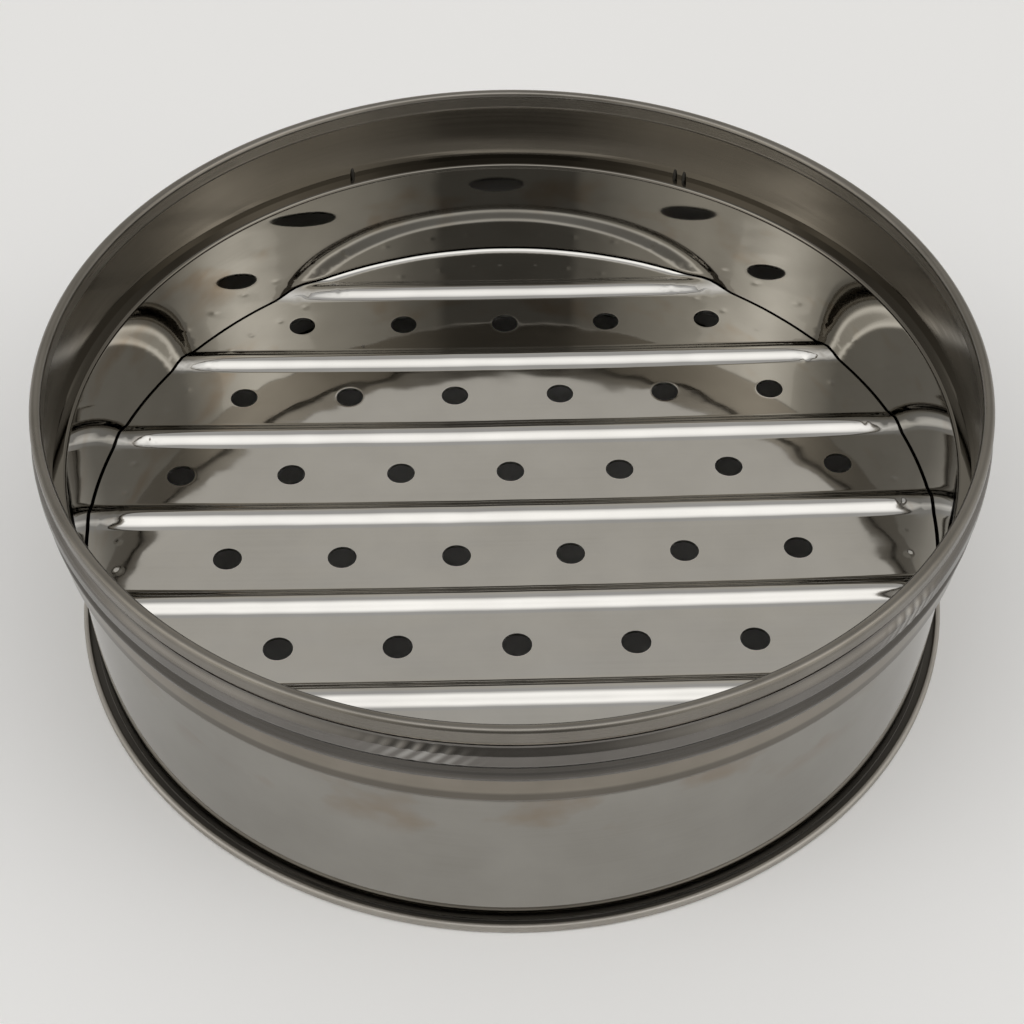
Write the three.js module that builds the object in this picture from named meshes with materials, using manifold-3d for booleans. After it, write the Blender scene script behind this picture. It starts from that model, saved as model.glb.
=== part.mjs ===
// Steamer tier: a polished steel drum with a flanged top, a wider sleeve round its mouth, a folded
// rim, a crowned collar, a hemmed foot that rests on the rim of the tier below, and a ribbed,
// perforated, slightly dished steam plate on an angle ring.
// Millimetres, +Z up, the foot stands on z = 0 and the drum's axis is the Z axis.
import * as THREE from 'three';
import { mergeVertices } from 'three/addons/utils/BufferGeometryUtils.js';
import Module from 'manifold-3d';

const wasm = await Module();
wasm.setup();

// Overall
const HEIGHT = 65.5;
const OUTER_R = 100;
const RING_SEGMENTS = 60;
const CLEARANCE = 0.3;

// Drum and sleeve
const SHELL_T = 0.7;
const SHELL_BEND = 1.2;
const LEDGE_RISE = 0.4;
const LEDGE_BEND = 0.6;
const SLEEVE_HEIGHT = 21.3;
const SLEEVE_LAP = 1.5;
const SLEEVE_TURN_IN = 1.4;
const LEDGE_WIDTH = 2.1;

// Folded strips on the cut edges
const STRIP_T = 0.6;
const RIM_LEG = 4.6;
const FOOT_INNER_LEG = 5;
const FOOT_WIDTH = 2.6;
const FOOT_HEIGHT = 2.4;
const FOOT_GAP = 0.4;
const FOOT_BEND = 0.7;

// Band round the outside
const COLLAR_T = 0.7;
const COLLAR_CROWN = 0.5;
const COLLAR_SLOPE = 1.4;
const COLLAR_HEIGHT = 6.8;
const COLLAR_BEND = 2;
const RIM_GROOVE = 2.7;

// Steam plate
const PLATE_T = 0.7;
const PLATE_GAP = 0.5;
const PLATE_Z = 18.4;
const PLATE_DISH = 0.9;
const PLATE_STEPS = 9;
const RIB_PITCH = 26.3;
const RIB_WIDTH = 8.6;
const RIB_HEIGHT = 1.6;
const RIB_STEPS = 6;
const RIB_MARGIN = 8;
const HOLE_PITCH = 25.25;
const HOLE_R = 3.2;
const HOLE_SEGMENTS = 14;
const HOLE_MARGIN = 0.6;
const TRIM_ALLOWANCE = 1;

// Support ring under the plate
const SUPPORT_T = 0.8;
const SUPPORT_LEG = 8;
const SUPPORT_WIDTH = 7;
const SUPPORT_BEND = 0.8;

// Radii that follow from the values above
const SLEEVE_OUT_R = OUTER_R - COLLAR_CROWN - COLLAR_T - CLEARANCE;
const SLEEVE_R = SLEEVE_OUT_R - SHELL_T;
const RIM_INNER_R = SLEEVE_R - CLEARANCE - STRIP_T;
const RIM_FOLD_R = (SHELL_T + 2 * CLEARANCE + STRIP_T) / 2;
const DRUM_OUT_R = SLEEVE_R - LEDGE_WIDTH;
const DRUM_R = DRUM_OUT_R - SHELL_T;
const FOOT_OUTER_R = DRUM_OUT_R + FOOT_WIDTH;
const PLATE_R = DRUM_R - PLATE_GAP;
const SUPPORT_IN_R = PLATE_R - SUPPORT_WIDTH;

// Heights that follow from the values above
const DRUM_BOTTOM = STRIP_T + CLEARANCE;
const SLEEVE_TOP = HEIGHT - STRIP_T / 2 - RIM_FOLD_R - CLEARANCE;
const SLEEVE_SHOULDER_Z = HEIGHT - SLEEVE_HEIGHT;
const LEDGE_Z = SLEEVE_SHOULDER_Z + SLEEVE_LAP;
const COLLAR_TOP = HEIGHT - RIM_LEG - RIM_GROOVE;
const SUPPORT_TOP = PLATE_Z + PLATE_DISH * (SUPPORT_IN_R / PLATE_R) ** 2 - PLATE_T - CLEARANCE;
const SUPPORT_BOTTOM = SUPPORT_TOP - SUPPORT_LEG;

// Ribs that fit on the plate, one of them across its middle
const RIBS_PER_SIDE = Math.floor((PLATE_R - RIB_WIDTH / 2 - RIB_MARGIN) / RIB_PITCH);
const RIB_COUNT = 2 * RIBS_PER_SIDE + 1;

const steel = (color, roughness) =>
  new THREE.MeshStandardMaterial({ color, roughness, metalness: 1 });
const polished = steel(0xb9b6b0, 0.14);
const satin = steel(0x8f8a82, 0.38);
const bright = steel(0xc6c3bc, 0.18);
const mill = steel(0x9a978f, 0.45);

const at = (radius, height) => new THREE.Vector2(radius, height);
const leftOf = (direction) => new THREE.Vector2(-direction.y, direction.x);

// Closed outline of a bent strip: the corner points of its middle line, each corner rounded.
function stripOutline(corners, thickness, bendRadius, bendSteps) {
  const stations = [];
  const origin = new THREE.Vector2();
  corners.forEach((corner, i) => {
    const into = corners[i - 1] && corner.clone().sub(corners[i - 1]).normalize();
    const out = corners[i + 1] && corners[i + 1].clone().sub(corner).normalize();
    if (!into || !out) {
      stations.push({ point: corner, along: into || out });
      return;
    }
    const turn = Math.atan2(into.cross(out), into.dot(out));
    const side = Math.sign(turn);
    const setback = bendRadius * Math.tan(Math.abs(turn) / 2);
    const centre = corner.clone().addScaledVector(into, -setback);
    centre.addScaledVector(leftOf(into), side * bendRadius);
    for (let k = 0; k <= bendSteps; k += 1) {
      const along = into.clone().rotateAround(origin, (turn * k) / bendSteps);
      const point = centre.clone().addScaledVector(leftOf(along), -side * bendRadius);
      stations.push({ point, along });
    }
  });
  const offset = (station, distance) =>
    station.point.clone().addScaledVector(leftOf(station.along), distance);
  const left = stations.map((station) => offset(station, thickness / 2));
  const right = stations.map((station) => offset(station, -thickness / 2));
  return [...left, ...right.reverse()];
}

// Turns a closed outline of radii and heights about the Z axis.
function ring(outline) {
  const closed = THREE.ShapeUtils.isClockWise(outline) ? outline.slice().reverse() : outline.slice();
  closed.push(closed[0].clone());
  const geometry = new THREE.LatheGeometry(closed, RING_SEGMENTS);
  geometry.rotateX(Math.PI / 2);
  return geometry;
}

function toSolid(geometry) {
  const bare = geometry.clone();
  bare.deleteAttribute('normal');
  bare.deleteAttribute('uv');
  const welded = mergeVertices(bare, 1e-4);
  const vertProperties = new Float32Array(welded.attributes.position.array);
  const triVerts = new Uint32Array(welded.index.array);
  return new wasm.Manifold(new wasm.Mesh({ numProp: 3, vertProperties, triVerts }));
}

function toGeometry(solid) {
  const mesh = solid.getMesh();
  const geometry = new THREE.BufferGeometry();
  geometry.setAttribute('position', new THREE.BufferAttribute(mesh.vertProperties, 3));
  geometry.setIndex(new THREE.BufferAttribute(mesh.triVerts, 1));
  geometry.computeVertexNormals();
  return geometry;
}

function part(name, geometry, material) {
  const mesh = new THREE.Mesh(geometry, material);
  mesh.name = name;
  return mesh;
}

// Rolled drum with its top edge flanged outwards into a ledge.
function drumWall() {
  const wall = DRUM_R + SHELL_T / 2;
  const corners = [
    at(wall, DRUM_BOTTOM),
    at(wall, LEDGE_Z - LEDGE_RISE),
    at(SLEEVE_R - CLEARANCE - SHELL_T / 2, LEDGE_Z),
  ];
  return ring(stripOutline(corners, SHELL_T, LEDGE_BEND, 2));
}

// Wider sleeve round the ledge, its lower edge turned in to the drum.
function socketSleeve() {
  const wall = SLEEVE_R + SHELL_T / 2;
  const corners = [
    at(DRUM_OUT_R + CLEARANCE + SHELL_T / 2, SLEEVE_SHOULDER_Z - SLEEVE_TURN_IN),
    at(wall, SLEEVE_SHOULDER_Z),
    at(wall, SLEEVE_TOP),
  ];
  return ring(stripOutline(corners, SHELL_T, SHELL_BEND, 2));
}

// Strip folded over the cut top edge of the sleeve.
function rimCap() {
  const inner = RIM_INNER_R + STRIP_T / 2;
  const outer = inner + 2 * RIM_FOLD_R;
  const top = HEIGHT - STRIP_T / 2;
  const corners = [
    at(inner, HEIGHT - RIM_LEG),
    at(inner, top),
    at(outer, top),
    at(outer, HEIGHT - RIM_LEG),
  ];
  return ring(stripOutline(corners, STRIP_T, RIM_FOLD_R, 3));
}

// Crowned band round the sleeve.
function collarBand() {
  const crown = OUTER_R - COLLAR_T / 2;
  const edge = crown - COLLAR_CROWN;
  const bottom = COLLAR_TOP - COLLAR_HEIGHT;
  const corners = [
    at(edge, bottom),
    at(crown, bottom + COLLAR_SLOPE),
    at(crown, COLLAR_TOP - COLLAR_SLOPE),
    at(edge, COLLAR_TOP),
  ];
  return ring(stripOutline(corners, COLLAR_T, COLLAR_BEND, 2));
}

// Strip folded over the cut bottom edge of the drum, turned out and back into a hem.
function footCap() {
  const inner = DRUM_R - CLEARANCE - STRIP_T / 2;
  const outer = FOOT_OUTER_R - STRIP_T / 2;
  const base = STRIP_T / 2;
  const top = FOOT_HEIGHT - STRIP_T / 2;
  const corners = [
    at(inner, FOOT_INNER_LEG),
    at(inner, base),
    at(outer, base),
    at(outer, top),
    at(DRUM_OUT_R + FOOT_GAP, top),
  ];
  return ring(stripOutline(corners, STRIP_T, FOOT_BEND, 2));
}

// Angle ring inside the drum that carries the rim of the plate.
function supportRing() {
  const leg = DRUM_R - CLEARANCE - SUPPORT_T / 2;
  const flange = SUPPORT_TOP - SUPPORT_T / 2;
  const corners = [at(leg, SUPPORT_BOTTOM), at(leg, flange), at(SUPPORT_IN_R, flange)];
  return ring(stripOutline(corners, SUPPORT_T, SUPPORT_BEND, 2));
}

// Height of the ribbed sheet across the ribs: half-cosine ribs on a shallow dish.
function sheetLine() {
  const dish = (y) => PLATE_DISH * (y / PLATE_R) ** 2;
  const end = PLATE_R + TRIM_ALLOWANCE;
  const line = [at(-end, dish(end))];
  for (let rib = 0; rib < RIB_COUNT; rib += 1) {
    const centre = (rib - RIBS_PER_SIDE) * RIB_PITCH;
    for (let k = 0; k <= RIB_STEPS; k += 1) {
      const y = centre + RIB_WIDTH * (k / RIB_STEPS - 0.5);
      const lift = (RIB_HEIGHT / 2) * (1 - Math.cos((2 * Math.PI * k) / RIB_STEPS));
      line.push(at(y, dish(y) + lift));
    }
    if (rib < RIB_COUNT - 1) {
      line.push(at(centre + RIB_PITCH / 2, dish(centre + RIB_PITCH / 2)));
    }
  }
  line.push(at(end, dish(end)));
  return line;
}

// Ribbed sheet, extruded along X and dished along X as well.
function ribbedSheet() {
  const top = sheetLine();
  const under = top.map((point) => at(point.x, point.y - PLATE_T)).reverse();
  const length = 2 * (PLATE_R + TRIM_ALLOWANCE);
  const geometry = new THREE.ExtrudeGeometry(new THREE.Shape([...top, ...under]), {
    depth: length,
    steps: PLATE_STEPS,
    bevelEnabled: false,
  });
  geometry.translate(0, 0, -length / 2);
  geometry.rotateX(Math.PI / 2);
  geometry.rotateZ(Math.PI / 2);
  const position = geometry.attributes.position;
  for (let i = 0; i < position.count; i += 1) {
    const dish = PLATE_DISH * (position.getX(i) / PLATE_R) ** 2;
    position.setZ(i, position.getZ(i) + PLATE_Z + dish);
  }
  return toSolid(geometry);
}

// Rows of holes midway between the ribs, staggered by half a pitch, clear of the support ring.
function holeCentres() {
  const reach = SUPPORT_IN_R - HOLE_R - HOLE_MARGIN;
  const rows = RIB_COUNT - 1;
  const perSide = Math.ceil(reach / HOLE_PITCH);
  const centres = [];
  for (let row = 0; row < rows; row += 1) {
    const y = (row - (rows - 1) / 2) * RIB_PITCH;
    const shift = row % 2 === 0 ? 0.5 : 0;
    for (let k = -perSide; k <= perSide; k += 1) {
      const x = (k + shift) * HOLE_PITCH;
      if (Math.hypot(x, y) <= reach) {
        centres.push(new THREE.Vector2(x, y));
      }
    }
  }
  return centres;
}

function post(radius, segments, x, y) {
  const geometry = new THREE.CylinderGeometry(radius, radius, HEIGHT, segments);
  geometry.rotateX(Math.PI / 2);
  geometry.translate(x, y, HEIGHT / 2);
  return toSolid(geometry);
}

// Pressed plate: the ribbed sheet trimmed to a disc and pierced.
function steamPlate() {
  let plate = ribbedSheet().intersect(post(PLATE_R, RING_SEGMENTS, 0, 0));
  for (const centre of holeCentres()) {
    plate = plate.subtract(post(HOLE_R, HOLE_SEGMENTS, centre.x, centre.y));
  }
  return toGeometry(plate);
}

const steamer = new THREE.Group();
steamer.name = 'steamer_tier';
steamer.add(
  part('drum_wall', drumWall(), polished),
  part('socket_sleeve', socketSleeve(), satin),
  part('rim_cap', rimCap(), satin),
  part('collar_band', collarBand(), satin),
  part('foot_cap', footCap(), satin),
  part('support_ring', supportRing(), mill),
  part('steam_plate', steamPlate(), bright),
);

export default steamer;
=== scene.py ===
"""Looks of a stacking steamer tier: a polished drum, satin bands and a bright pierced plate.

Metres, +Z up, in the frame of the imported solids. Each ring is turned from the outline of its bent
strip. The plate is a triangulated sheet whose heights and normals come from one formula.
"""
import math
import random

import bpy
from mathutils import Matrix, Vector, noise
from mathutils.geometry import delaunay_2d_cdt


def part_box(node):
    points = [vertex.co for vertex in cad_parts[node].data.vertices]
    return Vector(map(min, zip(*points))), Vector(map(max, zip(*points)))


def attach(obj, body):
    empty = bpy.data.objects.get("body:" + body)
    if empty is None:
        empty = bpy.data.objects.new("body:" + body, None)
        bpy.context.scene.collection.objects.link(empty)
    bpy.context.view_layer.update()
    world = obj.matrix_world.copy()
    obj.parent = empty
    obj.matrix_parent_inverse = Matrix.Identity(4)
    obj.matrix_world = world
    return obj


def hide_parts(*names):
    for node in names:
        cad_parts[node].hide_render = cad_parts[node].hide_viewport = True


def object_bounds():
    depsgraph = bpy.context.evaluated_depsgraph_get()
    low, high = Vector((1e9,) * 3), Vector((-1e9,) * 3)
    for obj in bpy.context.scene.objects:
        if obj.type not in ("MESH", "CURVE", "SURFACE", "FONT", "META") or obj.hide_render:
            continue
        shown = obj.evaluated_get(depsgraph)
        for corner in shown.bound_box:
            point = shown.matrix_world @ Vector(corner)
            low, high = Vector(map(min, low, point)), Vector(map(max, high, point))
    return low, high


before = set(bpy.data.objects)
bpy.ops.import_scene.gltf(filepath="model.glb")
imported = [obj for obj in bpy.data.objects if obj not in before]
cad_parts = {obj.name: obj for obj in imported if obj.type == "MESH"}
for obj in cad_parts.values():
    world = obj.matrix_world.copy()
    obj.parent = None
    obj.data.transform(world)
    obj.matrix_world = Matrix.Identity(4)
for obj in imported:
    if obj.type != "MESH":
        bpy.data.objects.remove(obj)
cad_low, cad_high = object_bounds()

MM = 0.001
OUTER_R = cad_high.x
HEIGHT = cad_high.z
CLEARANCE = 0.3 * MM

# Drum and sleeve; depths are measured from the top
SHELL_T = 0.7 * MM
SHELL_BEND = 1.2 * MM
SOCKET_DEPTH = 19.8 * MM
SHOULDER_DEPTH = 21.3 * MM
LEDGE_RISE = 0.4 * MM
LEDGE_BEND = 0.6 * MM
LEDGE_WIDTH = 2.1 * MM
SLEEVE_TURN_IN = 1.4 * MM

# Folded strips on the cut edges
STRIP_T = 0.6 * MM
RIM_TUCK = 0.5 * MM
RIM_TUCK_HEIGHT = 0.9 * MM
RIM_OUTER_LEG = 3.2 * MM
FOOT_HEIGHT = 1.9 * MM
FOOT_GAP = 1.4 * MM
FOOT_BEND = 0.46 * MM

# Collar face as (share of its height from the top, share of its depth): a bead, a groove and a lip
COLLAR_FACE = ((0, 0.05), (0.2, 1), (0.42, 1), (0.68, 0.15), (0.9, 0.7), (1, 0.5))
COLLAR_RISE = 2.4 * MM
COLLAR_SEAT = 0.05 * MM
COLLAR_STEPS = 14

# Grinding marks on the collar: middle angle from the front, and half width, in degrees
RIPPLES = ((-10.8, 8), (47, 6.5))
RIPPLE_DEPTH = 0.14 * MM
RIPPLE_PITCH = 2.9 * MM
RIPPLE_LEAN = 0.9
RIPPLE_SHARE = 0.3  # of the collar's height, above and below the middle of the marks
RIPPLE_FADE = 0.6  # of the half width
RIPPLE_MARGIN = 1.6  # of the half width, for the closer sections of the ring
FACE_NORMAL = 0.2  # normals that point less outwards are not on the face

# Steam plate
PLATE_T = 0.7 * MM
PLATE_Z = 18.4 * MM
PLATE_DISH = 0.9 * MM
RIB_PITCH = 26.3 * MM
RIB_WIDTH = 8.6 * MM
RIB_HEIGHT = 1.6 * MM
RIBS_PER_SIDE = 3
HOLE_PITCH = 25.25 * MM
HOLE_R = 3.2 * MM
HOLE_REACH = 83.7 * MM
ROLL_WIDTH = 0.5 * MM
ROLL_DEPTH = 0.012 * MM
SHEET_GAP = 0.4 * MM
SHEET_WAVES = ((34 * MM, 0.06 * MM), (13 * MM, 0.05 * MM), (6 * MM, 0.04 * MM))
WAVE_SLICE = 0.37  # height at which the waves are cut from the noise

# Spot welds along the plate's edge: WELD_SPREAD is a share of their spacing, WELD_WANDER is in
# millimetres
WELD_R = 88.2 * MM
WELD_COUNT = 64
WELD_SIZE = 0.75 * MM
WELD_DEPTH = 0.11 * MM
WELD_SEED = 7
WELD_SPREAD = (-0.18, 0.18)
WELD_WANDER = (-0.4, 0.4)
WELD_STRENGTH = (0.3, 1)

# Lower, dented ends of the ribs: DENT_ALONG and DENT_ACROSS are in millimetres
END_FADE = 8 * MM
END_DROP = 0.22
DENT_INSET = 5 * MM
DENT_SIZE = 4 * MM
DENT_DEPTH = 0.05 * MM
DENT_SEED = 3
DENT_ALONG = (-2, 2)
DENT_ACROSS = (-2.2, 0.6)
DENT_STRENGTH = (0.5, 1)

# Turned-up edge of the plate beyond the outermost ribs
LIP_WIDTH = 1.4 * MM
LIP_RISE = 0.6 * MM
LIP_START = 77 * MM
LIP_FULL = 83 * MM

# Points of the plate: rings round the holes, the welds and inside the edge, and rows along the
# ribs. The lists are in millimetres, and WELD_RINGS has the number of points as well.
HOLE_SEGMENTS = 48
EDGE_SEGMENTS = 288
HOLE_RINGS = (0.15, 0.35, 0.6, 1.1)
EDGE_RINGS = (0.2, 0.4, 0.6, 0.8, 1.0, 1.25, 1.6, 2.3)
WELD_RINGS = ((0.35, 8), (0.7, 12), (1.1, 12), (1.6, 14))
RIB_ROWS = 20
FLAT_ROWS = (0.45, 1.1, 2.0, 3.2, 4.8, 6.7)
COLUMN = 2.2 * MM
ROW_INSET = 3.2 * MM
HOLE_MARGIN = 1.5 * MM
WELD_MARGIN = 2 * MM
MERGE_DISTANCE = 1e-7
HOLE_INSIDE = 0.99  # of the hole's radius: triangles nearer to its middle are left out

# Support ring
SUPPORT_T = 0.8 * MM
SUPPORT_WIDTH = 7 * MM
SUPPORT_BEND = 0.8 * MM

# Tack welds on the ledge: angles in degrees from +X
TACKS = (112.3, 64.0, 62.6)
TACK_SIZE = (4.4 * MM, 0.95 * MM, 0.7 * MM)
TACK_RISE = 1.4 * MM
TACK_INSET = 0.2 * MM
TACK_LEAN = 0.25
TACK_ROWS = 10
TACK_STEPS = 14

# Fineness of the rings in degrees, of bends and ends in steps, and the step that measures a slope
RING_STEP = 1.25
FINE_STEP = 0.12
BEND_STEPS = 8
END_STEPS = 5
PROBE = 0.02 * MM

# Heat tint high on the drum, where the noise lies in STAIN_SPAN
STAIN = (0.25, 0.195, 0.14, 1)
STAIN_SHARE = 0.7
STAIN_SPAN = (0.52, 0.7)
STAIN_LOW = 26 * MM
STAIN_HIGH = 46 * MM

# Painted shade inside the sleeve and on the ledge
PAINTED_INSIDE_SHADE = (0.15, 0.137, 0.116, 1)
INSIDE_SHARE = 0.75
LEDGE_SHARE = 0.85
LEDGE_SHADE_LOW = 44.7 * MM
LEDGE_SOFT = 0.4 * MM

# Painted shade in the collar's groove, on the drum under the sleeve, on the sleeve's lower edge and
# in the gap of the foot, out to a set distance from the drum
PAINTED_SHADE = (0.06, 0.055, 0.048, 1)
GROOVE_SHARE = 0.65
GROOVE_LOW = 51.7 * MM
GROOVE_HIGH = 56.4 * MM
CREASE_SHARE = 0.6
CREASE_LOW = 39.9 * MM
CREASE_HIGH = 44 * MM
EDGE_SHARE = 0.55
EDGE_LOW = 43.9 * MM
EDGE_HIGH = 46.9 * MM
HEM_SHARE = 0.9
HEM_SHADE_REACH = 1.5 * MM

# Collar ground strokes with a painted highlight, where the share of the marks' depth lies in
# GROUND_SPAN
GROUND_STROKE_HIGHLIGHT = (0.42, 0.41, 0.39, 1)
GROUND_SHARE = 0.8
GROUND_SPAN = (0.1, 0.9)

# Height below which the sleeve is buffed, and its roughness there as a share
BUFFED = 48.9 * MM
BUFFED_SHARE = 0.3
BUFFED_SOFT = 0.2 * MM

# Noise on the steel as (scale, detail), and the span that most of it fills
MOTTLE = (70, 3)
SMUDGE = (38, 4)
WAVES = (45, 1)
CLOUDS = (55, 3)
LINES = (1, 4)
NOISE_LOW = 0.3
NOISE_HIGH = 0.7

# Stretch of the clouds and of the grain lines, and how strongly the lines show
CLOUD_STRETCH = (1, 1, 1.6)
ROUND_GRAIN = (25, 25, 2600)
SHEET_GRAIN = (18, 1400, 18)
STREAK = 0.35
LINE_ROUGHNESS = 0.25

# Soft ends of a belt as a share of its height, and half the width of a soft step
BELT_SOFT = 0.25
STEP_SOFT = 0.1 * MM

# Sockets of a mix node's colours
MIX_FIRST, MIX_SECOND, MIX_RESULT = 6, 7, 2

# Pale floor
FLOOR_REACH = 6
FLOOR_DROP = 0.05 * MM
FLOOR_DARK = (0.93, 0.93, 0.935, 1)
FLOOR_LIGHT = (0.95, 0.95, 0.955, 1)
FLOOR_CLOUDS = (3, 2)
FLOOR_ROUGHNESS = 0.9
FLOOR_SPECULAR = 0.1

# Brightness of the room by the angle from the front, as a share of half a turn
ROOM = (
    (0.0, 0.17), (0.098, 0.19), (0.114, 0.37), (0.14, 0.42), (0.2, 0.75), (0.3, 1.1),
    (0.5, 1.1), (0.58, 0.5), (0.83, 0.42), (0.92, 0.6),
)
ROOM_WARMTH = (1, 0.97, 0.905)

# Levels of the ceiling and of the line along the floor, and the rises over which they blend
CEILING = 0.55
CEILING_RISE = (0.72, 0.88)
HORIZON = 0.9
HORIZON_RISE = (0.05, 0.28)

# Bright band across the ceiling: its lean to the front and its half width in radians, its level
# and the rise over which it appears
BAND_LEAN = 0.27
BAND_WIDTH = 0.36
BAND = 0.95
BAND_RISE = (0.3, 0.6)

# Soft lamp overhead
LAMP_PLACE = (0, -0.2, 0.9)
LAMP_TARGET = (0, -0.2, 0)
LAMP_SIZE = (2.2, 0.5)
LAMP_RADIANCE = 0.25

# The photograph's camera, aimed at the middle of the plate
LENS = 67.05
CAMERA_DISTANCE = 431.14 * MM
CAMERA_ELEVATION = 45.54
CAMERA_AZIMUTH = 1.58
CLIP_START = 10 * MM


def outer_radius(node):
    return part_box(node)[1].x


def span(node):
    low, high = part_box(node)
    return low.z, high.z


PLATE_R = outer_radius("steam_plate")
SLEEVE_OUT_R = outer_radius("socket_sleeve")
SLEEVE_R = SLEEVE_OUT_R - SHELL_T
DRUM_OUT_R = SLEEVE_R - LEDGE_WIDTH
DRUM_R = DRUM_OUT_R - SHELL_T
SHEET_R = DRUM_R - SHEET_GAP
LEDGE_Z = HEIGHT - SOCKET_DEPTH
SHOULDER_Z = HEIGHT - SHOULDER_DEPTH


def left_of(direction):
    return Vector((-direction.y, direction.x))


def turned(direction, angle):
    cos, sin = math.cos(angle), math.sin(angle)
    return Vector((direction.x * cos - direction.y * sin, direction.x * sin + direction.y * cos))


def middle_line(corners, bend):
    """(point, direction) along a bent strip's middle line, with each corner rounded."""
    points = [Vector(corner) for corner in corners]
    stations = [(points[0], (points[1] - points[0]).normalized())]
    for before, corner, after in zip(points, points[1:], points[2:]):
        into = (corner - before).normalized()
        out = (after - corner).normalized()
        turn = math.atan2(into.x * out.y - into.y * out.x, into.dot(out))
        side = math.copysign(1, turn)
        start = corner - into * bend * math.tan(abs(turn) / 2)
        centre = start + left_of(into) * side * bend
        for k in range(BEND_STEPS + 1):
            along = turned(into, turn * k / BEND_STEPS)
            stations.append((centre - left_of(along) * side * bend, along))
    stations.append((points[-1], (points[-1] - points[-2]).normalized()))
    return stations


def strip_outline(corners, thickness, bend):
    """Closed outline of a bent strip with dressed ends, as (point, outward normal) pairs."""
    half = thickness / 2
    stations = middle_line(corners, bend)
    first, first_along = stations[0]
    last, last_along = stations[-1]
    stations[0] = (first + first_along * half, first_along)
    stations[-1] = (last - last_along * half, last_along)
    left = [(point + left_of(along) * half, left_of(along)) for point, along in stations]
    right = [(point - left_of(along) * half, -left_of(along)) for point, along in stations]

    def cap(station):
        point, along = station
        return [
            (point + normal * half, normal)
            for k in range(1, END_STEPS)
            for normal in [turned(left_of(along), -math.pi * k / END_STEPS)]
        ]

    end = cap(stations[-1])
    start = cap((stations[0][0], -stations[0][1]))
    outline = left + end + right[::-1] + start
    area = sum(a.x * b.y - b.x * a.y for (a, _), (b, _) in zip(outline, outline[1:] + outline[:1]))
    return outline if area > 0 else outline[::-1]


def ring_angles(fine=()):
    """Angles of a ring's sections in degrees, closer together in the fine stretches."""
    angles = [RING_STEP * k for k in range(round(360 / RING_STEP))]
    for middle, half_width in fine:
        steps = round(half_width / FINE_STEP)
        angles += [(middle + FINE_STEP * k) % 360 for k in range(-steps, steps + 1)]
    return sorted(set(round(angle, 4) for angle in angles))


def ring_axes(angle):
    """Unit vectors away from the Z axis and round about it."""
    cos, sin = math.cos(angle), math.sin(angle)
    return Vector((cos, sin, 0)), Vector((-sin, cos, 0))


def new_piece(name, points, faces):
    mesh = bpy.data.meshes.new(name)
    mesh.from_pydata(points, [], faces)
    mesh.polygons.foreach_set("use_smooth", [True] * len(mesh.polygons))
    piece = bpy.data.objects.new(name, mesh)
    bpy.context.scene.collection.objects.link(piece)
    return piece


def turn_ring(name, outline, angles, relief=None):
    """Turns an outline about Z.

    relief(angle, radius, height, normal) raises the surface along its normal, and its depth is
    kept in the attribute "ground".
    """
    points = []
    normals = []
    lifts = []
    count = len(outline)
    for degrees in angles:
        angle = math.radians(degrees)
        outwards, round_about = ring_axes(angle)
        for flat, flat_normal in outline:
            normal = outwards * flat_normal.x + Vector((0, 0, flat_normal.y))
            point = outwards * flat.x + Vector((0, 0, flat.y))
            if relief:
                along = left_of(flat_normal)
                up_strip = outwards * along.x + Vector((0, 0, along.y))
                next_x = flat.x + along.x * PROBE
                next_y = flat.y + along.y * PROBE
                lift = relief(angle, flat.x, flat.y, flat_normal)
                beside = relief(angle + PROBE / flat.x, flat.x, flat.y, flat_normal)
                above = relief(angle, next_x, next_y, flat_normal)
                lifts.append(-lift / RIPPLE_DEPTH)
                point = point + normal * lift
                normal = normal - round_about * (beside - lift) / PROBE
                normal = normal - up_strip * (above - lift) / PROBE
            points.append(point)
            normals.append(normal.normalized())
    faces = []
    for j in range(len(angles)):
        here = j * count
        there = ((j + 1) % len(angles)) * count
        for i in range(count):
            k = (i + 1) % count
            faces.append((here + i, there + i, there + k, here + k))
    piece = new_piece(name, points, faces)
    piece.data.normals_split_custom_set_from_vertices(normals)
    if relief:
        ground = piece.data.attributes.new("ground", "FLOAT", "POINT")
        ground.data.foreach_set("value", lifts)
    return piece


def bump_shape(distance, size):
    """1 at the middle, falling smoothly to almost 0 past the size."""
    return math.exp(-((distance / size) ** 2))


def angle_between(a, b):
    return math.atan2(math.sin(a - b), math.cos(a - b))


def drum_wall():
    bottom = span("drum_wall")[0]
    wall = DRUM_R + SHELL_T / 2
    corners = [(wall, bottom), (wall, LEDGE_Z - LEDGE_RISE), (SLEEVE_R + SHELL_T / 2, LEDGE_Z)]
    outline = strip_outline(corners, SHELL_T, LEDGE_BEND)
    return turn_ring("drum_wall_sheet", outline, ring_angles())


def tack_weld(index, degrees):
    """Short bead of weld that climbs from the ledge up the sleeve."""
    outwards, round_about = ring_axes(math.radians(degrees))
    foot = outwards * (SLEEVE_R - TACK_INSET) + Vector((0, 0, LEDGE_Z + TACK_RISE))
    climb = (outwards * TACK_LEAN + Vector((0, 0, 1))).normalized()
    inwards = round_about.cross(climb)
    length, width, height = TACK_SIZE
    points = []
    for i in range(TACK_ROWS + 1):
        along = math.cos(math.pi * i / TACK_ROWS)
        girth = math.sin(math.pi * i / TACK_ROWS)
        for k in range(TACK_STEPS):
            turn = 2 * math.pi * k / TACK_STEPS
            lengthwise = climb * (along * length / 2)
            sideways = round_about * (girth * math.cos(turn) * width / 2)
            raised = inwards * (girth * math.sin(turn) * height / 2)
            points.append(foot + (lengthwise + sideways) + raised)
    faces = []
    for i in range(TACK_ROWS):
        here = i * TACK_STEPS
        there = here + TACK_STEPS
        for k in range(TACK_STEPS):
            beside = (k + 1) % TACK_STEPS
            faces.append((here + k, here + beside, there + beside, there + k))
    return new_piece(f"tack_weld_{index}", points, faces)


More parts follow.
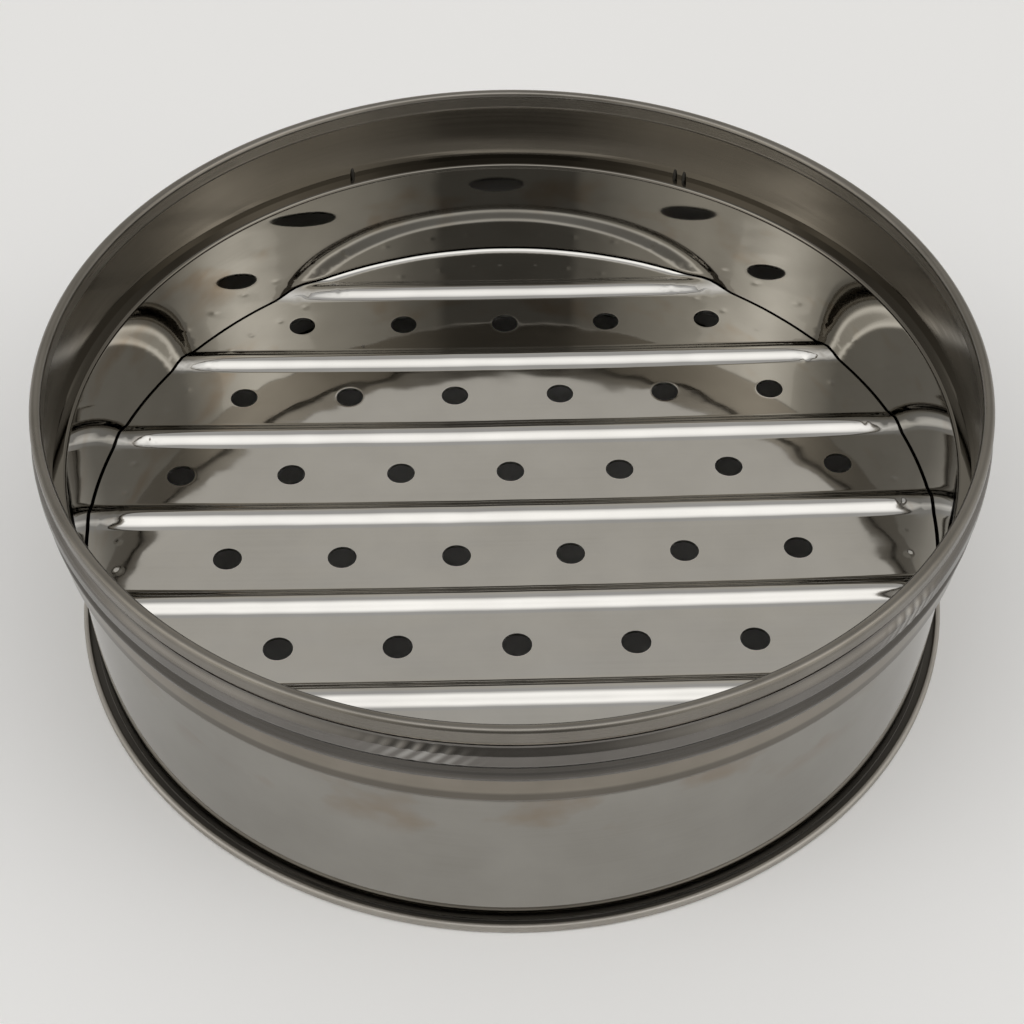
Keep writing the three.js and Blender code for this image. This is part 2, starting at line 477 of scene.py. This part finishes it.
def socket_sleeve():
    wall = SLEEVE_OUT_R - SHELL_T / 2
    top = span("socket_sleeve")[1]
    turned_in = DRUM_OUT_R + CLEARANCE + SHELL_T / 2
    corners = [(turned_in, SHOULDER_Z - SLEEVE_TURN_IN), (wall, SHOULDER_Z), (wall, top)]
    outline = strip_outline(corners, SHELL_T, SHELL_BEND)
    return turn_ring("socket_sleeve_sheet", outline, ring_angles())


def rim_cap():
    outer = outer_radius("rim_cap") - STRIP_T / 2
    fold = (SHELL_T + 2 * CLEARANCE + STRIP_T) / 2
    inner = outer - 2 * fold
    leg_end = span("rim_cap")[0]
    top = HEIGHT - STRIP_T / 2
    corners = [
        (inner + RIM_TUCK, leg_end), (inner, leg_end + RIM_TUCK_HEIGHT), (inner, top),
        (outer, top), (outer, HEIGHT - RIM_OUTER_LEG),
    ]
    return turn_ring("rim_cap_fold", strip_outline(corners, STRIP_T, fold), ring_angles())


def collar_outline(bottom, top):
    """Outline of the collar: a straight back, and a face that swings through COLLAR_FACE."""
    back = SLEEVE_OUT_R + COLLAR_SEAT
    depth = OUTER_R - back
    height = top - bottom
    face = []
    for (share, reach), (next_share, next_reach) in zip(COLLAR_FACE, COLLAR_FACE[1:]):
        for k in range(COLLAR_STEPS):
            t = k / COLLAR_STEPS
            swing = (1 - math.cos(math.pi * t)) / 2
            swing_slope = (next_reach - reach) * math.pi * math.sin(math.pi * t) / 2
            slope = swing_slope / (next_share - share)
            point = Vector((
                back + depth * (reach + (next_reach - reach) * swing),
                top - height * (share + (next_share - share) * t),
            ))
            face.append((point, Vector((height, slope * depth)).normalized()))
    lowest = Vector((back + depth * COLLAR_FACE[-1][1], bottom))
    face.append((lowest, Vector((1, 0))))
    edges = [
        (lowest, Vector((0, -1))), (Vector((back, bottom)), Vector((0, -1))),
        (Vector((back, bottom)), Vector((-1, 0))), (Vector((back, top)), Vector((-1, 0))),
    ]
    return (face + edges)[::-1]


def collar_band():
    bottom, top = span("collar_band")
    top += COLLAR_RISE
    half_height = (top - bottom) * RIPPLE_SHARE
    middle = top - half_height

    def relief(angle, radius, height, normal):
        if normal.x < FACE_NORMAL:
            return 0
        from_front = math.degrees(angle_between(angle, -math.pi / 2))
        fade = max(0, 1 - ((height - middle) / half_height) ** 2)
        lift = 0
        for where, half_width in RIPPLES:
            window = bump_shape(from_front - where, half_width * RIPPLE_FADE)
            travel = math.radians(from_front - where) * radius - RIPPLE_LEAN * (height - middle)
            wave = 0.5 + 0.5 * math.cos(2 * math.pi * travel / RIPPLE_PITCH)
            lift -= RIPPLE_DEPTH * window * fade * wave
        return lift

    fine = [(where - 90, half_width * RIPPLE_MARGIN) for where, half_width in RIPPLES]
    outline = collar_outline(bottom, top)
    return turn_ring("collar_band_strip", outline, ring_angles(fine), relief)


def foot_cap():
    inner = DRUM_R - CLEARANCE - STRIP_T / 2
    outer = outer_radius("foot_cap") - STRIP_T / 2
    base = STRIP_T / 2
    hem = FOOT_HEIGHT - STRIP_T / 2
    leg_end = span("foot_cap")[1]
    corners = [
        (inner, leg_end), (inner, base), (outer, base), (outer, hem),
        (DRUM_OUT_R + FOOT_GAP, hem),
    ]
    return turn_ring("foot_cap_fold", strip_outline(corners, STRIP_T, FOOT_BEND), ring_angles())


def support_ring():
    bottom, top = span("support_ring")
    leg = DRUM_R - CLEARANCE - SUPPORT_T / 2
    flange = top - SUPPORT_T / 2
    inner = PLATE_R - SUPPORT_WIDTH
    corners = [(leg, bottom), (leg, flange), (inner, flange)]
    outline = strip_outline(corners, SUPPORT_T, SUPPORT_BEND)
    return turn_ring("support_ring_angle", outline, ring_angles())


def hole_centres():
    rows = 2 * RIBS_PER_SIDE
    per_side = math.ceil(HOLE_REACH / HOLE_PITCH)
    centres = []
    for row in range(rows):
        y = (row - (rows - 1) / 2) * RIB_PITCH
        shift = 0.5 if row % 2 == 0 else 0
        for k in range(-per_side, per_side + 1):
            x = (k + shift) * HOLE_PITCH
            if math.hypot(x, y) <= HOLE_REACH:
                centres.append((x, y))
    return centres


def weld_marks():
    """Spot welds along the plate's edge as (x, y, strength), unevenly spaced and pressed."""
    draw = random.Random(WELD_SEED)
    marks = []
    for k in range(WELD_COUNT):
        angle = 2 * math.pi * (k + draw.uniform(*WELD_SPREAD)) / WELD_COUNT
        radius = WELD_R + draw.uniform(*WELD_WANDER) * MM
        strength = draw.uniform(*WELD_STRENGTH)
        marks.append((radius * math.cos(angle), radius * math.sin(angle), strength))
    return marks


def rib_end_dents():
    """Dents in the ends of the ribs as (x, y, strength)."""
    draw = random.Random(DENT_SEED)
    dents = []
    for rib in range(-RIBS_PER_SIDE, RIBS_PER_SIDE + 1):
        reach = math.sqrt(PLATE_R**2 - (rib * RIB_PITCH) ** 2) - DENT_INSET
        for side in (-1, 1):
            x = side * (reach + draw.uniform(*DENT_ALONG) * MM)
            y = rib * RIB_PITCH + draw.uniform(*DENT_ACROSS) * MM
            dents.append((x, y, draw.uniform(*DENT_STRENGTH)))
    return dents


def nearest(spots, x, y):
    return min(spots, key=lambda spot: (spot[0] - x) ** 2 + (spot[1] - y) ** 2)


def distance_to(spot, x, y):
    return math.hypot(x - spot[0], y - spot[1])


def eased(t):
    t = min(1, max(0, t))
    return t * t * (3 - 2 * t)


def rib_lift(x, y):
    """Height of a rib, a little lower where its end is pressed on to the support ring."""
    across = y - RIB_PITCH * round(y / RIB_PITCH)
    if abs(across) >= RIB_WIDTH / 2:
        return 0
    end = eased((math.hypot(x, y) - PLATE_R + END_FADE) / END_FADE)
    arch = 1 + math.cos(2 * math.pi * across / RIB_WIDTH)
    return RIB_HEIGHT / 2 * (1 - END_DROP * end) * arch


def edge_lip(x, y):
    """Rise of the plate's edge beyond the outermost ribs."""
    turned_up = eased((abs(y) - LIP_START) / (LIP_FULL - LIP_START))
    return LIP_RISE * turned_up * max(0, 1 - (SHEET_R - math.hypot(x, y)) / LIP_WIDTH) ** 2


def sheet_waves(x, y):
    place = Vector((x, y, WAVE_SLICE))
    return sum(size * noise.noise(place / length) for length, size in SHEET_WAVES)


def ring_of(x, y, radius, steps, phase=0):
    angles = [2 * math.pi * (k + phase) / steps for k in range(steps)]
    return [(x + radius * math.cos(angle), y + radius * math.sin(angle)) for angle in angles]


def row_heights():
    """Y of the plate's rows of points: close together on the ribs and at their feet."""
    rows = []
    for rib in range(-RIBS_PER_SIDE, RIBS_PER_SIDE + 1):
        middle = rib * RIB_PITCH
        half = RIB_ROWS // 2
        rows += [middle + RIB_WIDTH * k / RIB_ROWS for k in range(-half, half + 1)]
        for gap in FLAT_ROWS:
            rows += [middle - RIB_WIDTH / 2 - gap * MM, middle + RIB_WIDTH / 2 + gap * MM]
        rows.append(middle + RIB_PITCH / 2)
    return sorted(rows)


def plate_points(holes, welds):
    """Edge loops, the points inside them, and the pairs of those points that lie along a row."""
    loops = [ring_of(0, 0, SHEET_R, EDGE_SEGMENTS)]
    loops += [ring_of(x, y, HOLE_R, HOLE_SEGMENTS) for x, y in holes]
    inner = []
    for index, gap in enumerate(HOLE_RINGS):
        for x, y in holes:
            inner += ring_of(x, y, HOLE_R + gap * MM, HOLE_SEGMENTS, 0.5 * (index + 1))
    for x, y, _ in welds:
        inner.append((x, y))
        for radius, steps in WELD_RINGS:
            inner += ring_of(x, y, radius * MM, steps)
    for index, gap in enumerate(EDGE_RINGS):
        inner += ring_of(0, 0, SHEET_R - gap * MM, EDGE_SEGMENTS, 0.5 * (index + 1))
    pairs = []
    per_side = math.ceil(PLATE_R / COLUMN)
    for index, y in enumerate(row_heights()):
        before = None
        for k in range(-per_side, per_side + 1):
            x = (k + 0.5 * (index % 2)) * COLUMN
            in_plate = math.hypot(x, y) < PLATE_R - ROW_INSET
            off_hole = distance_to(nearest(holes, x, y), x, y) > HOLE_R + HOLE_MARGIN
            off_weld = distance_to(nearest(welds, x, y), x, y) > WELD_MARGIN
            if not (in_plate and off_hole and off_weld):
                before = None
                continue
            if before is not None:
                pairs.append((before, len(inner)))
            before = len(inner)
            inner.append((x, y))
    return loops, inner, pairs


def steam_plate():
    holes = hole_centres()
    welds = weld_marks()
    dents = rib_end_dents()

    def height(x, y):
        weld = nearest(welds, x, y)
        pressed = nearest(dents, x, y)
        to_hole = max(0, distance_to(nearest(holes, x, y), x, y) - HOLE_R)
        roll = ROLL_DEPTH * max(0, 1 - to_hole / ROLL_WIDTH) ** 2
        dent = WELD_DEPTH * weld[2] * bump_shape(distance_to(weld, x, y), WELD_SIZE)
        dent += DENT_DEPTH * pressed[2] * bump_shape(distance_to(pressed, x, y), DENT_SIZE)
        dish = PLATE_DISH * (x * x + y * y) / PLATE_R**2
        sheet = PLATE_Z + dish + edge_lip(x, y) + rib_lift(x, y) + sheet_waves(x, y)
        return sheet - roll - dent

    def normal(x, y):
        slope_x = (height(x + PROBE, y) - height(x - PROBE, y)) / (2 * PROBE)
        slope_y = (height(x, y + PROBE) - height(x, y - PROBE)) / (2 * PROBE)
        return Vector((-slope_x, -slope_y, 1)).normalized()

    loops, inner, pairs = plate_points(holes, welds)
    flat = [Vector(point) for loop in loops for point in loop] + [Vector(point) for point in inner]
    edges = []
    start = 0
    for loop in loops:
        edges += [(start + k, start + (k + 1) % len(loop)) for k in range(len(loop))]
        start += len(loop)
    edges += [(start + a, start + b) for a, b in pairs]
    flat, _, triangles, _, _, _ = delaunay_2d_cdt(flat, edges, [], 0, MERGE_DISTANCE)

    def over_hole(triangle):
        x, y = sum((flat[i] for i in triangle), Vector((0, 0))) / 3
        return distance_to(nearest(holes, x, y), x, y) < HOLE_R * HOLE_INSIDE

    top_faces = [tuple(triangle) for triangle in triangles if not over_hole(triangle)]
    count = len(flat)
    top_normals = [normal(point.x, point.y) for point in flat]
    points = [(point.x, point.y, height(point.x, point.y)) for point in flat]
    points += [(x, y, z - PLATE_T) for x, y, z in points]
    faces = list(top_faces)
    faces += [tuple(i + count for i in reversed(face)) for face in top_faces]
    normals = [top_normals[i] for face in top_faces for i in face]
    normals += [-top_normals[i] for face in top_faces for i in reversed(face)]
    used = {(face[k], face[(k + 1) % 3]) for face in top_faces for k in range(3)}
    rim = [(a, b) for a, b in used if (b, a) not in used]
    for a, b in rim:
        faces.append((b, a, a + count, b + count))
        along = flat[b] - flat[a]
        outwards = Vector((along.y, -along.x, 0)).normalized()
        normals += [outwards] * 4
    piece = new_piece("steam_plate_sheet", points, faces)
    piece.data.normals_split_custom_set(normals)
    return piece


def rgba(red, green, blue):
    return (red, green, blue, 1)


def add(tree, kind, inputs=None, **settings):
    """A new node, with each input set to a value or linked to a socket."""
    made = tree.nodes.new(kind)
    for key, value in settings.items():
        setattr(made, key, value)
    for key, value in (inputs or {}).items():
        if isinstance(value, bpy.types.NodeSocket):
            tree.links.new(value, made.inputs[key])
        else:
            made.inputs[key].default_value = value
    return made


def calc(tree, operation, first, second=0):
    return add(tree, "ShaderNodeMath", {0: first, 1: second}, operation=operation).outputs[0]


def mixed(tree, factor, first, second):
    """first where factor is 0 and second where it is 1, each a colour or a socket."""
    inputs = {"Factor": factor, MIX_FIRST: first, MIX_SECOND: second}
    return add(tree, "ShaderNodeMix", inputs, data_type="RGBA").outputs[MIX_RESULT]


def ranged(tree, value, low, high, start=NOISE_LOW, end=NOISE_HIGH, interpolation="LINEAR"):
    """value between start and end becomes a number between low and high."""
    inputs = {"Value": value, "From Min": start, "From Max": end, "To Min": low, "To Max": high}
    made = add(tree, "ShaderNodeMapRange", inputs, interpolation_type=interpolation)
    return made.outputs["Result"]


def noise_of(tree, place, scale, detail, stretch=(1, 1, 1)):
    stretched = add(tree, "ShaderNodeVectorMath", {0: place, 1: stretch}, operation="MULTIPLY")
    inputs = {"Vector": stretched.outputs[0], "Scale": scale, "Detail": detail}
    return add(tree, "ShaderNodeTexNoise", inputs).outputs[0]


def height_of(tree, place):
    return add(tree, "ShaderNodeSeparateXYZ", {0: place}).outputs["Z"]


def belt(tree, height, low, high, share=1):
    """share between the heights low and high, with soft ends, and 0 elsewhere."""
    soft = (high - low) * BELT_SOFT
    rising = ranged(tree, height, 0, share, low, low + soft)
    falling = ranged(tree, height, 1, 0, high - soft, high)
    return calc(tree, "MULTIPLY", rising, falling)


def beyond(tree, place, middle):
    """1 farther from the axis than middle, 0 nearer to it."""
    flat = add(tree, "ShaderNodeVectorMath", {0: place, 1: (1, 1, 0)}, operation="MULTIPLY")
    length = add(tree, "ShaderNodeVectorMath", {0: flat.outputs[0]}, operation="LENGTH")
    return ranged(tree, length.outputs["Value"], 0, 1, middle - STEP_SOFT, middle + STEP_SOFT)


def drum_tint_and_shade(tree, place, colour):
    """Brown clouds of heat tint, and painted shade on the ledge and outside under the sleeve."""
    height = height_of(tree, place)
    clouds = noise_of(tree, place, *CLOUDS, CLOUD_STRETCH)
    cloud = ranged(tree, clouds, 0, STAIN_SHARE, *STAIN_SPAN)
    stained = calc(tree, "MULTIPLY", cloud, belt(tree, height, STAIN_LOW, STAIN_HIGH))
    colour = mixed(tree, stained, colour, STAIN)
    # Painted shade on the ledge and its bend
    ledge = ranged(tree, height, 0, LEDGE_SHARE, LEDGE_SHADE_LOW, LEDGE_SHADE_LOW + LEDGE_SOFT)
    colour = mixed(tree, ledge, colour, PAINTED_INSIDE_SHADE)
    # Painted shade on the drum outside, under the sleeve
    crease = belt(tree, height, CREASE_LOW, CREASE_HIGH, CREASE_SHARE)
    crease_shade = calc(tree, "MULTIPLY", crease, beyond(tree, place, DRUM_R + SHELL_T / 2))
    return mixed(tree, crease_shade, colour, PAINTED_SHADE)


def sleeve_shade(tree, place, colour):
    """Painted shade on the inside of the sleeve, and outside round its lower edge."""
    outside = beyond(tree, place, SLEEVE_R + SHELL_T / 2)
    # Painted shade on the inside of the sleeve
    colour = mixed(tree, ranged(tree, outside, INSIDE_SHARE, 0, 0, 1), colour, PAINTED_INSIDE_SHADE)
    # Painted shade outside round the sleeve's lower edge
    edge = belt(tree, height_of(tree, place), EDGE_LOW, EDGE_HIGH, EDGE_SHARE)
    return mixed(tree, calc(tree, "MULTIPLY", edge, outside), colour, PAINTED_SHADE)


def collar_shade_and_highlight(tree, place, colour):
    """Painted shade in the collar's groove, and painted highlight on the bead's ground strokes."""
    # Painted shade in the groove, and a painted highlight on the ground strokes
    groove = belt(tree, height_of(tree, place), GROOVE_LOW, GROOVE_HIGH, GROOVE_SHARE)
    ground = add(tree, "ShaderNodeAttribute", attribute_name="ground").outputs["Fac"]
    strokes = ranged(tree, ground, 0, GROUND_SHARE, *GROUND_SPAN)
    return mixed(tree, strokes, mixed(tree, groove, colour, PAINTED_SHADE), GROUND_STROKE_HIGHLIGHT)


def foot_gap_shade(tree, place, colour):
    """Painted shade in the gap between the drum and the hem of the foot."""
    # Painted shade in the gap of the foot
    off_drum = beyond(tree, place, DRUM_OUT_R)
    on_hem = beyond(tree, place, DRUM_OUT_R + HEM_SHADE_REACH)
    gap = calc(tree, "SUBTRACT", off_drum, on_hem)
    return mixed(tree, ranged(tree, gap, 0, HEM_SHARE, 0, 1), colour, PAINTED_SHADE)


def steel(
    name, dark, light, rough, wave_bump, line_bump, anisotropy=0,
    grain=ROUND_GRAIN, marks=None, buffed=None,
):
    """Steel with mottled colour, fine grain lines, smudges and a slightly wavy surface.

    marks(tree, place, colour) adds marks, painted shade and painted highlights to the colour.
    Below the height buffed the finish is smoother.
    """
    material = bpy.data.materials.new(name)
    material.use_nodes = True
    tree = material.node_tree
    shader = tree.nodes["Principled BSDF"]
    place = add(tree, "ShaderNodeTexCoord").outputs["Object"]
    lines = noise_of(tree, place, *LINES, grain)

    mottled = mixed(tree, ranged(tree, noise_of(tree, place, *MOTTLE), 0, 1), dark, light)
    colour = mixed(tree, ranged(tree, lines, 0, STREAK), mottled, light)
    if marks:
        colour = marks(tree, place, colour)
    tree.links.new(colour, shader.inputs["Base Color"])

    smooth, coarse = rough
    smudged = ranged(tree, noise_of(tree, place, *SMUDGE), smooth, coarse)
    line_share = LINE_ROUGHNESS * smooth
    roughness = calc(tree, "ADD", smudged, ranged(tree, lines, -line_share, line_share))
    if buffed:
        low, high = buffed - BUFFED_SOFT, buffed + BUFFED_SOFT
        share = ranged(tree, height_of(tree, place), BUFFED_SHARE, 1, low, high)
        roughness = calc(tree, "MULTIPLY", roughness, share)
    tree.links.new(roughness, shader.inputs["Roughness"])

    waves = noise_of(tree, place, *WAVES)
    wavy = add(tree, "ShaderNodeBump", {"Height": waves, "Distance": wave_bump})
    inputs = {"Height": lines, "Distance": line_bump, "Normal": wavy.outputs[0]}
    fine = add(tree, "ShaderNodeBump", inputs)
    tree.links.new(fine.outputs[0], shader.inputs["Normal"])
    shader.inputs["Metallic"].default_value = 1
    shader.inputs["Anisotropic"].default_value = anisotropy
    if anisotropy:
        tangent = add(tree, "ShaderNodeTangent", direction_type="RADIAL", axis="Z")
        tree.links.new(tangent.outputs[0], shader.inputs["Tangent"])
    return material


def materials():
    finishes = {
        "polished_steel": dict(
            dark=rgba(0.285, 0.273, 0.248), light=rgba(0.325, 0.313, 0.287), rough=(0.03, 0.06),
            wave_bump=0.05 * MM, line_bump=0.0003 * MM, anisotropy=0.3, marks=drum_tint_and_shade,
        ),
        "sleeve_steel": dict(
            dark=rgba(0.22, 0.197, 0.163), light=rgba(0.28, 0.252, 0.213), rough=(0.15, 0.21),
            wave_bump=0.03 * MM, line_bump=0.002 * MM, anisotropy=0.6, marks=sleeve_shade,
            buffed=BUFFED,
        ),
        "satin_steel": dict(
            dark=rgba(0.185, 0.171, 0.149), light=rgba(0.24, 0.223, 0.197), rough=(0.26, 0.34),
            wave_bump=0.03 * MM, line_bump=0.002 * MM, anisotropy=0.6,
        ),
        "collar_steel": dict(
            dark=rgba(0.145, 0.136, 0.125), light=rgba(0.19, 0.179, 0.166), rough=(0.2, 0.28),
            wave_bump=0.03 * MM, line_bump=0.002 * MM, anisotropy=0.4, marks=collar_shade_and_highlight,
        ),
        "foot_steel": dict(
            dark=rgba(0.36, 0.338, 0.305), light=rgba(0.43, 0.406, 0.372), rough=(0.45, 0.55),
            wave_bump=0.03 * MM, line_bump=0.002 * MM, anisotropy=0.4, marks=foot_gap_shade,
        ),
        "bright_steel": dict(
            dark=rgba(0.49, 0.475, 0.447), light=rgba(0.54, 0.525, 0.495), rough=(0.04, 0.08),
            wave_bump=0.01 * MM, line_bump=0.0002 * MM, grain=SHEET_GRAIN,
        ),
        "mill_steel": dict(
            dark=rgba(0.30, 0.29, 0.27), light=rgba(0.38, 0.37, 0.345), rough=(0.4, 0.5),
            wave_bump=0.02 * MM, line_bump=0.003 * MM, anisotropy=0.3,
        ),
        "weld_steel": dict(
            dark=rgba(0.05, 0.047, 0.042), light=rgba(0.10, 0.094, 0.085), rough=(0.45, 0.6),
            wave_bump=0.02 * MM, line_bump=0.003 * MM,
        ),
    }
    return {name: steel(name, **finish) for name, finish in finishes.items()}


def dress(finishes):
    pieces = {
        "drum_wall": (drum_wall(), "polished_steel", "polished_steel"),
        "socket_sleeve": (socket_sleeve(), "sleeve_steel", "satin_steel"),
        "rim_cap": (rim_cap(), "satin_steel", "satin_steel"),
        "collar_band": (collar_band(), "collar_steel", "satin_steel"),
        "foot_cap": (foot_cap(), "foot_steel", "satin_steel"),
        "support_ring": (support_ring(), "mill_steel", "mill_steel"),
        "steam_plate": (steam_plate(), "bright_steel", "bright_steel"),
    }
    for node, (piece, finish, slot) in pieces.items():
        piece.data.materials.append(finishes[finish])
        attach(piece, "root")
        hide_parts(node)
    for index, degrees in enumerate(TACKS, 1):
        piece = tack_weld(index, degrees)
        piece.data.materials.append(finishes["weld_steel"])
        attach(piece, "root")


def floor():
    sides = ((-1, -1), (1, -1), (1, 1), (-1, 1))
    corners = [(x * FLOOR_REACH, y * FLOOR_REACH, 0) for x, y in sides]
    sheet = new_piece("floor", corners, [(0, 1, 2, 3)])
    sheet.location.z = -FLOOR_DROP
    material = bpy.data.materials.new("pale_floor")
    material.use_nodes = True
    tree = material.node_tree
    shader = tree.nodes["Principled BSDF"]
    place = add(tree, "ShaderNodeTexCoord").outputs["Object"]
    colour = mixed(tree, noise_of(tree, place, *FLOOR_CLOUDS), FLOOR_DARK, FLOOR_LIGHT)
    tree.links.new(colour, shader.inputs["Base Color"])
    shader.inputs["Roughness"].default_value = FLOOR_ROUGHNESS
    shader.inputs["Specular IOR Level"].default_value = FLOOR_SPECULAR
    sheet.data.materials.append(material)


def graded(tree, value, stops):
    """A warm grey ramp through (position, level) stops."""
    ramp = add(tree, "ShaderNodeValToRGB", {"Fac": value})
    elements = ramp.color_ramp.elements
    elements.remove(elements[1])
    for index, (position, level) in enumerate(stops):
        element = elements[0] if index == 0 else elements.new(position)
        element.position = position
        element.color = rgba(*(level * share for share in ROOM_WARMTH))
    return ramp.outputs[0]


def surroundings():
    """A room with pale sides, a grey back, a dark front and a pale line along the floor."""
    world = bpy.data.worlds.new("studio")
    bpy.context.scene.world = world
    world.use_nodes = True
    tree = world.node_tree
    way = add(tree, "ShaderNodeTexCoord").outputs["Generated"]
    parts = add(tree, "ShaderNodeSeparateXYZ", {0: way})
    height = parts.outputs["Z"]
    ahead = calc(tree, "MULTIPLY", parts.outputs["Y"], -1)
    turn = calc(tree, "ABSOLUTE", calc(tree, "ARCTAN2", parts.outputs["X"], ahead))
    room = graded(tree, ranged(tree, turn, 0, 1, 0, math.pi), ROOM)
    ceiling = rgba(CEILING, CEILING, CEILING)
    covered = mixed(tree, ranged(tree, height, 0, 1, *CEILING_RISE), room, ceiling)
    horizon = rgba(HORIZON, HORIZON, HORIZON)
    edged = mixed(tree, ranged(tree, height, 0, 1, *HORIZON_RISE), horizon, covered)
    lean = calc(tree, "ARCTAN2", ahead, height)
    away = calc(tree, "ABSOLUTE", calc(tree, "SUBTRACT", lean, BAND_LEAN))
    across = ranged(tree, away, BAND, 0, 0, BAND_WIDTH, "SMOOTHSTEP")
    band = calc(tree, "MULTIPLY", across, ranged(tree, height, 0, 1, *BAND_RISE))
    lit = add(tree, "ShaderNodeVectorMath", {0: edged, 1: band}, operation="ADD")
    backdrop = tree.nodes["Background"]
    tree.links.new(lit.outputs[0], backdrop.inputs["Color"])
    backdrop.inputs["Strength"].default_value = 1


def overhead_lamp():
    width, depth = LAMP_SIZE
    lamp = bpy.data.lights.new("overhead", "AREA")
    lamp.shape = "RECTANGLE"
    lamp.size = width
    lamp.size_y = depth
    lamp.energy = LAMP_RADIANCE * math.pi * width * depth
    light = bpy.data.objects.new("overhead", lamp)
    light.location = LAMP_PLACE
    aim = Vector(LAMP_TARGET) - Vector(LAMP_PLACE)
    light.rotation_euler = aim.to_track_quat("-Z", "Y").to_euler()
    bpy.context.scene.collection.objects.link(light)


def camera():
    middle = Vector((0, 0, PLATE_Z))
    azimuth = math.radians(CAMERA_AZIMUTH)
    elevation = math.radians(CAMERA_ELEVATION)
    back = Vector((
        -math.sin(azimuth) * math.cos(elevation),
        -math.cos(azimuth) * math.cos(elevation),
        math.sin(elevation),
    ))
    lens = bpy.data.cameras.new("camera")
    lens.lens = LENS
    lens.clip_start = CLIP_START
    viewer = bpy.data.objects.new("camera", lens)
    viewer.location = middle + back * CAMERA_DISTANCE
    viewer.rotation_euler = (-back).to_track_quat("-Z", "Y").to_euler()
    bpy.context.scene.collection.objects.link(viewer)
    bpy.context.scene.camera = viewer


camera()
dress(materials())
floor()
surroundings()
overhead_lamp()
bpy.context.scene.view_settings.view_transform = "Standard"
